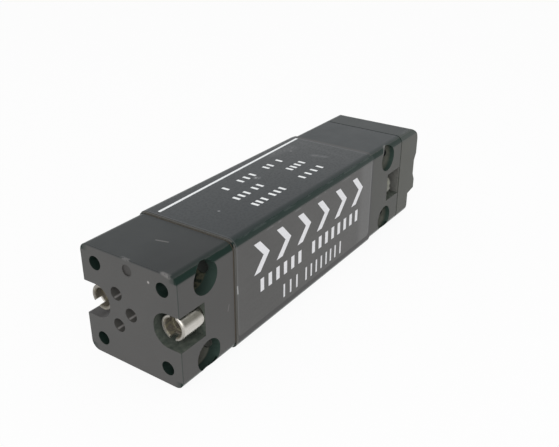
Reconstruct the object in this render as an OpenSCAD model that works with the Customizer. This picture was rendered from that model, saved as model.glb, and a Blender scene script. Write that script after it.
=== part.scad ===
// Vacuum ejector in a square block body: a port block at each end of the
// ejector body, an exhaust cap on the far block, two long tie screws with
// sleeve nuts, and the nozzle, diffuser and silencer inside.
// X runs along the ejector from the interface face to the cap, Z is up.
// The origin is under the middle, on the plane that the ejector rests on.

/* [Section] */
// Width and height of the port blocks and the cap
section = 30; // [29:0.5:34]
// Radius of the four long edges
edge_r = 2.4; // [1:0.1:3.5]
// How far the ejector body stands proud of the blocks all round
body_proud = 0.3; // [0.1:0.1:0.8]

/* [Lengths] */
// Length of each port block
block_len = 19.4; // [18:0.1:24]
// Length of the ejector body
body_len = 69.8; // [68:0.1:90]
// Length of the exhaust cap
cap_len = 12.4; // [11:0.1:16]
// Thickness of the flat gaskets
gasket_t = 0.4; // [0.2:0.1:1]
// How far the joint gaskets stop short of the blocks' sides
gasket_inset = 0.15; // [0:0.05:0.4]

/* [Corner holes and pockets] */
// Spacing of the four corner holes, both ways
corner_pitch = 21; // [20.5:0.1:22]
// Diameter of the near block's corner holes
corner_d = 3.7; // [3.6:0.1:4.2]
// Core diameter of the far block's threaded corner holes
thread_core_d = 3.3; // [3.2:0.1:3.4]
// Diameter of the round pockets in the sides
pocket_d = 8.3; // [7:0.1:9]
// Depth of the pockets from the side face
pocket_depth = 8; // [6:0.1:8.5]
// Distance from the outer face to the pockets' centre
pocket_x = 9.4; // [8.5:0.1:11]
// How far the corner holes run on past the pockets
corner_overrun = 3; // [1:0.1:4]

/* [Nut notches] */
// Distance from the side face to the tie screws' axis
tie_inset = 3.7; // [3.6:0.05:4]
// Width of the round-ended notches that hold nuts and heads
notch_w = 9.2; // [8.6:0.1:9.4]
// Radius of the notches' inner corners
notch_r = 4.3; // [4.1:0.05:4.3]
// Length of the notches from the outer face
notch_len = 8.6; // [7:0.1:9]

/* [Interface ports] */
// Diameter of the three air ports in the interface face
port_d = 3.6; // [3:0.1:4]
// Sideways and vertical offset of the two outer ports
port_offset = 4.35; // [4.3:0.05:4.6]
// Diameter of the channels that lead on from the outer ports in the body
channel_d = 3.2; // [2.8:0.1:3.2]
// Diameter of the ejector-pin mark in the interface face
pin_mark_d = 2.8; // [2:0.1:4]
// Distance from the top face down to the pin mark
pin_mark_inset = 3; // [2:0.1:4]
// Depth of the pin mark
pin_mark_depth = 0.25; // [0.1:0.05:0.5]

/* [Tie screws and sleeve nuts] */
// Diameter of the tie screws
tie_d = 3.9; // [3.5:0.1:4]
// Diameter of the cheese heads
head_d = 7.4; // [6:0.1:7.4]
// Height of the cheese heads
head_h = 3; // [2:0.1:3.4]
// Outer diameter of the sleeve nuts
nut_d = 7; // [6:0.1:7.2]
// How far the sleeve nuts stop short of the interface face
nut_recess = 1.6; // [0.5:0.1:2]
// Diameter of the sleeve nuts' threaded bore
nut_bore_d = 4; // [4:0.05:4.2]
// Diameter of the wider mouth of the sleeve nuts
nut_mouth_d = 4.9; // [4.4:0.1:5]
// Depth of the wider mouth
nut_mouth_depth = 2.6; // [2:0.1:3.5]
// Width of the screwdriver slot in the sleeve nuts
nut_slot_w = 1.7; // [1:0.1:2]
// Depth of the screwdriver slot in the sleeve nuts
nut_slot_depth = 2; // [1:0.1:2.5]
// Width and depth of the slots in the screw heads
head_slot = 1.2; // [0.8:0.1:1.5]
// Distance from the bottom of a nut's mouth to the end of its tie screw
screw_end_gap = 0.8; // [0.5:0.1:1.5]
// Turn of the slot in the left nut from upright
left_slot_turn = 43; // [0:1:90]
// Turn of the slot in the right nut from upright
right_slot_turn = 4; // [0:1:90]

/* [Exhaust cap] */
// Radius of the cap's upper far edge
cap_top_r = 4.6; // [3:0.1:5]
// Radius of the cap's lower far edge
cap_bottom_r = 3; // [1:0.1:4]
// Height of the step along the bottom of the cap's far face
step_h = 7; // [6.5:0.1:8]
// Depth of that step
step_depth = 4.4; // [3.5:0.1:5]
// Rise of the step's ceiling from its inner corner outwards
step_rise = 1; // [0:0.1:1.5]
// Width of the band recessed across the cap's far face
band_w = 5; // [4:0.1:6]
// Depth of the band
band_depth = 1.3; // [0.5:0.1:1.5]
// Run of the sloping flanks each side of the band
band_flank = 2.4; // [1:0.1:3]
// Height of the band's middle above the middle of the face
band_rise = 0.8; // [0:0.1:1]
// Number of exhaust holes in the band
exhaust_count = 5; // [3:1:5]
// Diameter of each exhaust hole
exhaust_d = 2.4; // [1.5:0.1:2.8]
// Spacing of the exhaust holes
exhaust_pitch = 3.1; // [3:0.05:3.2]
// Diameter of the exhaust passage from the diffuser to the silencer
exhaust_bore_d = 12; // [11:0.5:13]
// Diameter of the silencer
silencer_d = 15.9; // [14:0.1:16.4]
// Diameter of the silencer's hollow
silencer_hollow_d = 6; // [4:0.5:8]
// Thickness of the silencer's closed end
silencer_end = 2; // [1.5:0.5:3]
// Diameter of the cap screws
cap_screw_d = 3.2; // [3:0.1:3.2]
// Clearance holes for the cap screws in the cap and its gasket
cap_hole_d = 4.3; // [4.2:0.1:4.5]
// How far the cap screws reach into the far block
cap_screw_reach = 5; // [3:0.5:6]
// How far the cap screws' heads are sunk into the cap
head_sink = 1.4; // [0.5:0.1:2]

/* [Vacuum port] */
// Core diameter of the threaded vacuum port
vacuum_port_d = 8.6; // [8:0.1:9]
// Depth of the threaded vacuum port
vacuum_port_depth = 8.5; // [8:0.1:9]
// Diameter of the passage from the port to the vacuum chamber
vacuum_passage_d = 6; // [5:0.5:8]
// Distance from the body's near end to the vacuum port
vacuum_port_x = 21; // [19:0.5:22]

/* [Nozzle] */
// Diameter of the nozzle's seat
nozzle_d = 7; // [6:0.1:7.4]
// Length of the nozzle's seat in the body
nozzle_seat = 12; // [11:0.5:13]
// Length of the nozzle's narrower end behind its shoulder
nozzle_neck = 3; // [2:0.5:4]
// How far the nozzle reaches into the vacuum chamber
nozzle_reach = 10; // [8:0.5:11]
// Diameter of the nozzle's inlet bore
nozzle_bore_d = 3; // [2.5:0.1:3.2]
// Throat diameter of the nozzle
nozzle_throat_d = 1.3; // [0.8:0.1:1.6]
// Outer diameter of the nozzle's tip
nozzle_tip_d = 3.2; // [2.6:0.1:3.6]
// Length of the flare from the throat to the nozzle's tip
nozzle_flare_len = 3; // [2:0.5:4]
// Length of the cone from the inlet bore to the throat
nozzle_cone_len = 4; // [3:0.5:5]

/* [Diffuser] */
// Diameter of the vacuum chamber
chamber_d = 9.6; // [9:0.1:9.6]
// Length of the vacuum chamber
chamber_len = 14; // [14:0.5:16]
// Diameter of the diffuser's seat
diffuser_d = 10; // [10:0.1:11]
// Throat diameter of the diffuser
diffuser_throat_d = 2.4; // [2:0.1:3]
// Distance from the diffuser's inlet to its throat
diffuser_cone_len = 6; // [4:0.5:8]
// Length of the throat
diffuser_throat_len = 8; // [5:0.5:12]
// Diameter of the diffuser's inlet
diffuser_inlet_d = 6.8; // [5:0.1:7]
// Diameter of the diffuser's outlet
diffuser_outlet_d = 6.4; // [5:0.1:7]
// Diameter of the diffuser's flange
flange_d = 13.9; // [13:0.1:15]
// Thickness of the diffuser's flange
flange_t = 1.5; // [1:0.1:2]
// Distance from each end of the diffuser to its seal ring
seal_inset = 5; // [4.5:0.5:10]
// Thickness of the seal rings
ring_d = 1; // [0.8:0.1:1.2]

/* [Label] */
// Thickness of the wrap-round label film
label_t = 0.15; // [0.1:0.05:0.3]
// Length of the body left bare beyond the label, towards the cap
label_gap = 1.7; // [1:0.1:3]
// Height of the bare strip under each side of the label
label_hem = 1.2; // [0.5:0.1:4]

/* [Hidden] */
$fn = 64;
fit = 0.05;
over = 1;

total_len = 2 * block_len + body_len + cap_len + 3 * gasket_t;
near_x = -total_len / 2;
body_x = near_x + block_len + gasket_t;
far_x = body_x + body_len + gasket_t;
cap_x = far_x + block_len + gasket_t;
mid_z = section / 2 + body_proud;
half = section / 2;
body_section = section + 2 * body_proud;
tie_y = half - tie_inset;
tie_hole_d = tie_d + 0.4;
clearance = 0.6;
port_places = [[0, 0], [port_offset, port_offset], [port_offset, -port_offset]];
nozzle_ring_x = nozzle_seat / 2 - 2;
channel_len = nozzle_seat + 4;
diffuser_start = nozzle_seat + chamber_len;
diffuser_len = body_len - diffuser_start;
seat_x = cap_len - step_depth;
silencer_len = seat_x - 1;
groove_w = ring_d + 0.3;

// Rounded square, centred on its middle
module rounded_square(w, r) {
    square([w, w - 2 * r], center = true);
    square([w - 2 * r, w], center = true);
    for (y = [-1, 1], z = [-1, 1])
        translate([y * (w / 2 - r), z * (w / 2 - r)]) circle(r);
}

// Extrudes a profile drawn across the section along X
module along_x(len) {
    rotate([90, 0, 90]) linear_extrude(len) children();
}

// Round bar along X
module rod_x(d, len) {
    rotate([0, 90, 0]) cylinder(d = d, h = len);
}

// Round hole along X from x = 0, cut on past the face it starts from
module hole_x(d, len) {
    translate([-over, 0, 0]) rod_x(d, len + over);
}

// Places a copy at each of the four corner holes
module at_corners() {
    for (y = [-1, 1], z = [-1, 1])
        translate([0, y * corner_pitch / 2, z * corner_pitch / 2]) children();
}

// Places a copy at each tie screw
module at_ties() {
    for (side = [-1, 1]) translate([0, side * tie_y, 0]) children();
}

// Places a copy at each port of the interface face
module at_ports() {
    for (p = port_places) translate([0, p[0], p[1]]) children();
}

// Revolves a profile of (along X, radius) points about the X axis
module turned(points) {
    rotate([0, 90, 0]) rotate_extrude() polygon([for (p = points) [p[1], p[0]]]);
}

// Seal ring about the X axis, centred on x = 0
module seal_ring(outer_d) {
    rotate([0, 90, 0]) rotate_extrude()
        translate([(outer_d - ring_d) / 2, 0]) circle(d = ring_d, $fn = 32);
}

// Round-ended notch, open to the outer face and to the side at +Y
module nut_notch() {
    flat = notch_w / 2 - notch_r;
    translate([-over, 0, 0]) along_x(notch_len + over) {
        for (z = [-1, 1]) translate([0, z * flat]) circle(notch_r);
        translate([-notch_r, -flat]) square([2 * notch_r, 2 * flat]);
        translate([0, -notch_w / 2]) square([section, notch_w]);
    }
}

// Round pocket in the side at +Y, across a corner hole
module side_pocket(z) {
    translate([pocket_x, half - pocket_depth, z])
        rotate([-90, 0, 0]) cylinder(d = pocket_d, h = pocket_depth + over);
}

// Port block with its outer face at x = 0 and its joint face at x = block_len
module port_block(hole_d) {
    difference() {
        along_x(block_len) rounded_square(section, edge_r);
        at_corners() hole_x(hole_d, pocket_x + pocket_d / 2 + corner_overrun);
        for (side = [0, 1], z = [-1, 1])
            mirror([0, side, 0]) side_pocket(z * corner_pitch / 2);
        for (side = [0, 1])
            mirror([0, side, 0]) translate([0, tie_y, 0]) nut_notch();
        at_ties() hole_x(tie_hole_d, block_len + over);
        children();
    }
}

module near_block() {
    color([0.2, 0.2, 0.2]) translate([near_x, 0, mid_z]) port_block(corner_d) {
        at_ports() hole_x(port_d, block_len + over);
        translate([0, 0, half - pin_mark_inset]) hole_x(pin_mark_d, pin_mark_depth);
    }
}

module far_block() {
    color([0.22, 0.22, 0.21]) translate([far_x + block_len, 0, mid_z]) mirror([1, 0, 0])
        port_block(thread_core_d) hole_x(exhaust_bore_d, block_len + over);
}

// Flat gasket with holes for the tie screws and the openings given as children
module joint_gasket() {
    difference() {
        along_x(gasket_t) rounded_square(section - 2 * gasket_inset, edge_r);
        at_ties() hole_x(tie_hole_d, gasket_t + over);
        children();
    }
}

module near_gasket() {
    color([0.3, 0.22, 0.14]) translate([body_x - gasket_t, 0, mid_z]) joint_gasket()
        at_ports() hole_x(port_d + clearance, gasket_t + over);
}

module far_gasket() {
    color([0.3, 0.22, 0.14]) translate([far_x - gasket_t, 0, mid_z]) joint_gasket()
        hole_x(exhaust_bore_d, gasket_t + over);
}

module cap_gasket() {
    color([0.12, 0.12, 0.12]) translate([cap_x - gasket_t, 0, mid_z]) difference() {
        along_x(gasket_t) rounded_square(section - 4 * gasket_inset, edge_r);
        hole_x(exhaust_bore_d, gasket_t + over);
        at_corners() hole_x(cap_hole_d, gasket_t + over);
    }
}

module ejector_body() {
    color([0.24, 0.24, 0.24]) translate([body_x, 0, mid_z]) difference() {
        along_x(body_len) rounded_square(body_section, edge_r);
        at_ties() hole_x(tie_hole_d, body_len + over);
        for (z = [-1, 1]) translate([0, port_offset, z * port_offset])
            hole_x(channel_d, channel_len);
        hole_x(nozzle_d, nozzle_seat - nozzle_neck);
        hole_x(nozzle_d - 1, nozzle_seat + over);
        translate([nozzle_seat, 0, 0]) rod_x(chamber_d, chamber_len + over);
        translate([diffuser_start, 0, 0]) rod_x(diffuser_d, diffuser_len + over);
        translate([body_len - flange_t, 0, 0]) rod_x(flange_d + 2 * fit, flange_t + over);
        translate([vacuum_port_x, 0, -mid_z - over]) {
            cylinder(d = vacuum_port_d, h = vacuum_port_depth + over);
            cylinder(d = vacuum_passage_d, h = mid_z + over);
        }
    }
}

// Printed film over the top and both sides of the body
module label_film() {
    outer = body_section + 2 * label_t;
    bare = (section - body_section) / 2 + edge_r + label_hem;
    color([0.13, 0.13, 0.14]) translate([body_x + gasket_t, 0, mid_z]) difference() {
        along_x(body_len - label_gap) rounded_square(outer, edge_r + label_t);
        translate([-over, 0, 0]) along_x(body_len) rounded_square(body_section, edge_r);
        translate([-over, -section, -section - half]) cube([body_len, 2 * section, section + bare]);
    }
}

// Side outline of the cap: x along the cap, y up from its middle
module cap_outline() {
    flank = band_w / 2 + band_flank;
    difference() {
        translate([0, -half]) square([cap_len, section]);
        difference() {
            translate([cap_len - cap_top_r, half - cap_top_r]) square(cap_top_r + over);
            translate([cap_len - cap_top_r, half - cap_top_r]) circle(cap_top_r);
        }
        polygon([[seat_x, -half - over], [cap_len + over, -half - over],
                 [cap_len + over, step_h + step_rise - half], [seat_x, step_h - half]]);
        difference() {
            translate([seat_x - cap_bottom_r, -half - over]) square(cap_bottom_r + over);
            translate([seat_x - cap_bottom_r, cap_bottom_r - half]) circle(cap_bottom_r);
        }
        translate([cap_len, band_rise])
            polygon([[over, flank], [0, flank], [-band_depth, band_w / 2],
                     [-band_depth, -band_w / 2], [0, -flank], [over, -flank]]);
    }
}

module end_cap() {
    first = -(exhaust_count - 1) / 2 * exhaust_pitch;
    color([0.25, 0.25, 0.24]) translate([cap_x, 0, mid_z]) difference() {
        intersection() {
            along_x(cap_len) rounded_square(section, edge_r);
            rotate([90, 0, 0]) linear_extrude(section + over, center = true) cap_outline();
        }
        hole_x(silencer_d + 2 * fit, silencer_len);
        at_corners() hole_x(cap_hole_d, cap_len);
        translate([seat_x - head_sink, 0, 0]) at_corners()
            rod_x(head_d + clearance, cap_len);
        for (i = [0 : exhaust_count - 1])
            translate([silencer_len - over, first + i * exhaust_pitch, band_rise])
                rod_x(exhaust_d, cap_len);
    }
}

// Slotted cheese head with its seat at x = 0, and a shank that runs back from it
module slotted_screw(shank_d, len) {
    r = head_d / 2;
    edge = 0.5;
    translate([-len, 0, 0]) rod_x(shank_d, len + over);
    difference() {
        turned([[0, 0], [0, r], [head_h - edge, r], [head_h, r - edge], [head_h, 0]]);
        translate([head_h - head_slot, -head_d, -head_slot / 2])
            cube([head_slot + over, 2 * head_d, head_slot]);
    }
}

// Tie screw: head in the far block's notch, thread in the near block's sleeve nut
module tie_screw(side) {
    seat = far_x + block_len - notch_len;
    tip = near_x + nut_recess + nut_mouth_depth + screw_end_gap;
    color([0.75, 0.74, 0.7]) translate([seat, side * tie_y, mid_z])
        slotted_screw(tie_d, seat - tip);
}

// Sleeve nut seated at the bottom of its notch, slotted at its open end
module sleeve_nut(side, slot_turn) {
    len = notch_len - nut_recess;
    r = nut_d / 2;
    edge = 0.25;
    color([0.75, 0.74, 0.7]) translate([near_x + nut_recess, side * tie_y, mid_z])
        difference() {
            turned([[0, nut_mouth_d / 2 + edge], [0, r - edge], [edge, r], [len, r],
                    [len, nut_bore_d / 2], [nut_mouth_depth, nut_bore_d / 2],
                    [nut_mouth_depth, nut_mouth_d / 2], [edge, nut_mouth_d / 2]]);
            rotate([slot_turn, 0, 0]) translate([-over, -nut_slot_w / 2, -nut_d])
                cube([nut_slot_depth + over, nut_slot_w, 2 * nut_d]);
        }
}

// Screw that holds the cap, at one of the four corners
module cap_screw(y, z) {
    seat = seat_x - head_sink;
    color([0.3, 0.3, 0.3])
        translate([cap_x + seat, y * corner_pitch / 2, mid_z + z * corner_pitch / 2])
            slotted_screw(cap_screw_d, seat + gasket_t + cap_screw_reach);
}

// Nozzle with an inlet bore, a throat and a flare towards its tip
module motive_nozzle() {
    r = nozzle_d / 2 - fit;
    neck_r = r - 0.5;
    groove_r = r - ring_d;
    shoulder = nozzle_seat - nozzle_neck;
    tip = nozzle_seat + nozzle_reach;
    throat = nozzle_throat_d / 2;
    flare = 0.35;
    flare_x = tip - nozzle_flare_len;
    throat_x = flare_x - 2;
    color([0.75, 0.6, 0.3]) translate([body_x, 0, mid_z])
        turned([[0, nozzle_bore_d / 2], [0, r], [nozzle_ring_x, r],
                [nozzle_ring_x, groove_r], [nozzle_ring_x + groove_w, groove_r],
                [nozzle_ring_x + groove_w, r], [shoulder, r], [shoulder, neck_r],
                [nozzle_seat + 1, neck_r], [tip, nozzle_tip_d / 2], [tip, throat + flare],
                [flare_x, throat], [throat_x, throat],
                [throat_x - nozzle_cone_len, nozzle_bore_d / 2]]);
}

module nozzle_seal() {
    color([0.1, 0.1, 0.1]) translate([body_x + nozzle_ring_x + groove_w / 2, 0, mid_z])
        seal_ring(nozzle_d - 2 * fit);
}

// Diffuser with a short inlet cone, a throat, a long outlet cone and a flange
module diffuser() {
    r = diffuser_d / 2 - fit;
    groove_r = r - ring_d;
    throat = diffuser_throat_d / 2;
    lead = 0.6;
    outlet_ring = diffuser_len - seal_inset;
    color([0.8, 0.8, 0.82]) translate([body_x + diffuser_start, 0, mid_z])
        turned([[0, diffuser_inlet_d / 2], [0, r - lead], [lead, r],
                [seal_inset - groove_w, r], [seal_inset - groove_w, groove_r],
                [seal_inset, groove_r], [seal_inset, r],
                [outlet_ring, r], [outlet_ring, groove_r],
                [outlet_ring + groove_w, groove_r], [outlet_ring + groove_w, r],
                [diffuser_len - flange_t, r], [diffuser_len - flange_t, flange_d / 2],
                [diffuser_len, flange_d / 2], [diffuser_len, diffuser_outlet_d / 2],
                [diffuser_cone_len + diffuser_throat_len, throat],
                [diffuser_cone_len, throat]]);
}

// Seal ring of the diffuser, at a distance along it
module diffuser_seal(x) {
    color([0.1, 0.1, 0.1]) translate([body_x + diffuser_start + x, 0, mid_z])
        seal_ring(diffuser_d - 2 * fit);
}

module silencer() {
    color([0.85, 0.83, 0.78]) translate([cap_x, 0, mid_z]) difference() {
        rod_x(silencer_d, silencer_len);
        hole_x(silencer_hollow_d, silencer_len - silencer_end);
    }
}

near_block();
near_gasket();
ejector_body();
label_film();
far_gasket();
far_block();
cap_gasket();
end_cap();
tie_screw(1);  // tie_screw_left
tie_screw(-1);  // tie_screw_right
sleeve_nut(1, left_slot_turn);  // sleeve_nut_left
sleeve_nut(-1, right_slot_turn);  // sleeve_nut_right
cap_screw(-1, -1);  // cap_screw_1
cap_screw(1, -1);  // cap_screw_2
cap_screw(1, 1);  // cap_screw_3
cap_screw(-1, 1);  // cap_screw_4
motive_nozzle();
nozzle_seal();
diffuser();
diffuser_seal(seal_inset - groove_w / 2);  // diffuser_inlet_seal
diffuser_seal(diffuser_len - seal_inset + groove_w / 2);  // diffuser_outlet_seal
silencer();
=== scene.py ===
"""Vacuum ejector: finishes, label, print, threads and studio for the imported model."""

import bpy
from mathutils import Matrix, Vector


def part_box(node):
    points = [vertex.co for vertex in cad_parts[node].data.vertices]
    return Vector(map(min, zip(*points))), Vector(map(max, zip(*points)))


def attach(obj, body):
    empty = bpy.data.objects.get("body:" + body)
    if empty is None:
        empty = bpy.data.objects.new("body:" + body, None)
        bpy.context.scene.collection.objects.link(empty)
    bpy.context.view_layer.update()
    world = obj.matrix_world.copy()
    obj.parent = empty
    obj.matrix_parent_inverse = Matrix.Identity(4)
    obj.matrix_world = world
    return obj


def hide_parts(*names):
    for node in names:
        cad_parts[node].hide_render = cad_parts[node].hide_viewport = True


bl_info = {
    "name": "Vacuum ejector",
    "version": (1, 0, 0),
    "blender": (4, 5, 0),
    "location": "3D View > Sidebar > Ejector",
    "description": "Finishes a square-bodied vacuum ejector and lights it in a small studio",
    "category": "Object",
}

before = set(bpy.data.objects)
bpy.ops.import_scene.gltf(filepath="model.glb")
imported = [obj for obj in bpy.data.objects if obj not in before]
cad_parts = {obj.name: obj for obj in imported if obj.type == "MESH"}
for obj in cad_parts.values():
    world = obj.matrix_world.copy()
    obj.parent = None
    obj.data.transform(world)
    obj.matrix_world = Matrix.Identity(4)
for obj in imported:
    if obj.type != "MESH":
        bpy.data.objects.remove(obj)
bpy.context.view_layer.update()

import math

import bpy
from bpy.props import FloatProperty, FloatVectorProperty, IntProperty, PointerProperty
from bpy.types import Operator, Panel, PropertyGroup
from mathutils import Matrix, Vector

MM = 0.001

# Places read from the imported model, in millimetres
BLOCK_LOW, BLOCK_HIGH = (Vector(c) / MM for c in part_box("near_block"))
BODY_LOW, _ = (Vector(c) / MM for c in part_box("ejector_body"))
_, FAR_HIGH = (Vector(c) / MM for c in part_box("far_block"))
CAP_LOW, _ = (Vector(c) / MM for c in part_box("end_cap"))
FILM_LOW, FILM_HIGH = (Vector(c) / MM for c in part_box("label_film"))
NUT_LOW, NUT_HIGH = (Vector(c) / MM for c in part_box("sleeve_nut_right"))
MID_Z = (BLOCK_LOW.z + BLOCK_HIGH.z) / 2
HALF = (BLOCK_HIGH.y - BLOCK_LOW.y) / 2

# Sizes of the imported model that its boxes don't give, in millimetres
EDGE_R = 2.4             # rounding of the body's long edges
FILM_T = 0.15            # thickness of the label film
HOLE_OFFSET = 10.5       # corner holes and side pockets, from the axis both ways
POCKET_X = 9.4           # side pockets, from a block's outer face
PORT_OFFSET = 4.35       # outer air ports, from the axis both ways
VACUUM_PORT_X = 21.0     # vacuum port, from the body's near end
VACUUM_PORT_R = 4.3      # its core radius

# Reach of the masks in the blocks, a little past the holes so that their walls are inside
CORNER_R = 1.9
POCKET_R = 4.2
POCKET_DEPTH = 8.1
NOTCH_HALF = 4.65
NOTCH_LENGTH = 8.7
NOTCH_INNER = 6.9        # the notches' inner ends, from the axis
PORT_R = 1.85


# ---------------------------------------------------------------- settings

def colour(name, text, default):
    return FloatVectorProperty(name=name, description=text, default=default,
                               subtype="COLOR", size=3, min=0.0, max=1.0)


def length(name, text, default):
    return FloatProperty(name=name, description=text, default=default,
                         unit="LENGTH", min=0.0, precision=5)


class EjectorColours(PropertyGroup):
    near_block: colour("Near block", "Satin black of the near port block", (0.068, 0.067, 0.065))
    # Painted shade: the top tones are darker than the sides, standing for less light on the tops
    near_top_shade: colour("Near top", "Top face of the near port block", (0.024, 0.028, 0.029))
    far_block: colour("Far block", "Satin black of the far port block", (0.058, 0.059, 0.054))
    # Painted shade: darker than the far block's sides, for less light on its top
    far_top_shade: colour("Far top", "Top face of the far port block", (0.029, 0.035, 0.038))
    body: colour("Body", "Satin black of the ejector body", (0.055, 0.054, 0.054))
    cap: colour("Cap", "Satin black of the exhaust cap", (0.067, 0.069, 0.060))
    # Painted shade: darker than the cap's sides, for less light on its top
    cap_top_shade: colour("Cap top", "Top face of the exhaust cap", (0.029, 0.035, 0.036))
    film_side: colour("Film sides", "Label film on the sides", (0.075, 0.074, 0.072))
    # Painted shade: darker than the film's sides, for less light on the top
    film_top_shade: colour("Film top", "Label film on the top", (0.021, 0.026, 0.029))
    # Painted shade in the holes, pockets and notches, and a painted dark reflection on the long edges
    painted_dark: colour("Hollows", "Green-black in holes and on the long edges", (0.007, 0.021, 0.016))
    # Painted shade: the side's ink is painted darker than the top's, for the different light on the
    # sides
    print_side_shade: colour("Side print", "Dulled white of the side's marks", (0.72, 0.72, 0.74))
    print_top: colour("Top print", "White of the marks on the top", (0.90, 0.92, 0.93))
    gasket: colour("Fibre gasket", "Brown of the joint gaskets", (0.085, 0.064, 0.042))
    cap_gasket: colour("Cap gasket", "Grey of the gasket under the cap", (0.125, 0.125, 0.115))
    seal: colour("Seals", "Black rubber of the seal rings", (0.018, 0.018, 0.019))
    nickel: colour("Nickel", "Nickel plate of nuts and tie screws", (0.56, 0.54, 0.50))
    grime: colour("Grime", "Brown residue in the nuts and slots", (0.055, 0.042, 0.024))
    steel: colour("Black steel", "Blackened steel of the cap screws", (0.035, 0.036, 0.040))
    brass: colour("Brass", "Turned brass of the nozzle", (0.62, 0.44, 0.20))
    aluminium: colour("Aluminium", "Turned aluminium of the diffuser", (0.70, 0.70, 0.72))
    felt: colour("Silencer felt", "Porous felt of the silencer", (0.62, 0.59, 0.52))


class EjectorSizes(PropertyGroup):
    film_clearance: length("Film clearance", "Space left outside the film for the ink", 0.00003)
    print_thickness: length("Print thickness", "Thickness of the printed ink", 0.00002)
    rule_width: length("Rule width", "Width of the white rule on the top", 0.0008)
    arrow_height: length("Arrow height", "Height of one flow arrow on the side", 0.0086)
    arrow_width: length("Arrow width", "Width of one flow arrow's stroke along the body", 0.0026)
    arrow_reach: length("Arrow reach", "How far an arrow's point leads its ends", 0.0040)
    arrow_pitch: length("Arrow pitch", "Spacing of the flow arrows", 0.0098)
    arrow_count: IntProperty(name="Arrows", description="Number of flow arrows", default=6, min=1)
    edge_wear: length("Edge rounding", "Radius of the small rounding on sharp edges", 0.00012)


class EjectorStudio(PropertyGroup):
    key: FloatProperty(name="Key light", description="Strength of the large light at the left",
                       default=1.0, min=0.0)
    fill: FloatProperty(name="Fill light", description="Strength of the light along the side",
                        default=1.0, min=0.0)
    sky: FloatProperty(name="Sky", description="Strength of the even light all round",
                       default=0.66, min=0.0)
    lens: FloatProperty(name="Lens", description="Focal length of the camera",
                        default=45.77, unit="CAMERA", min=1.0)


# ---------------------------------------------------------------- node graphs

# Sockets of a colour Mix node
MIX_FACTOR, MIX_FIRST, MIX_SECOND, MIX_RESULT = 0, 6, 7, 2


class Value:
    """A number or socket in a material's graph, with plain arithmetic."""

    def __init__(self, graph, socket):
        self.graph, self.socket = graph, socket

    def __add__(self, other):
        return self.graph.math("ADD", self, other)

    def __sub__(self, other):
        return self.graph.math("SUBTRACT", self, other)

    def __mul__(self, other):
        return self.graph.math("MULTIPLY", self, other)

    def __rsub__(self, other):
        return self.graph.math("SUBTRACT", other, self)

    def __abs__(self):
        return self.graph.math("ABSOLUTE", self)

    def below(self, limit, soft=0.05):
        """1 below the limit and 0 above it, with a soft edge."""
        return self.graph.ramp(self, limit - soft, limit + soft, 1.0, 0.0)

    def above(self, limit, soft=0.05):
        """1 above the limit and 0 below it, with a soft edge."""
        return self.graph.ramp(self, limit - soft, limit + soft, 0.0, 1.0)

    def between(self, low, high, soft=0.05):
        return self.above(low, soft) * self.below(high, soft)


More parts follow.
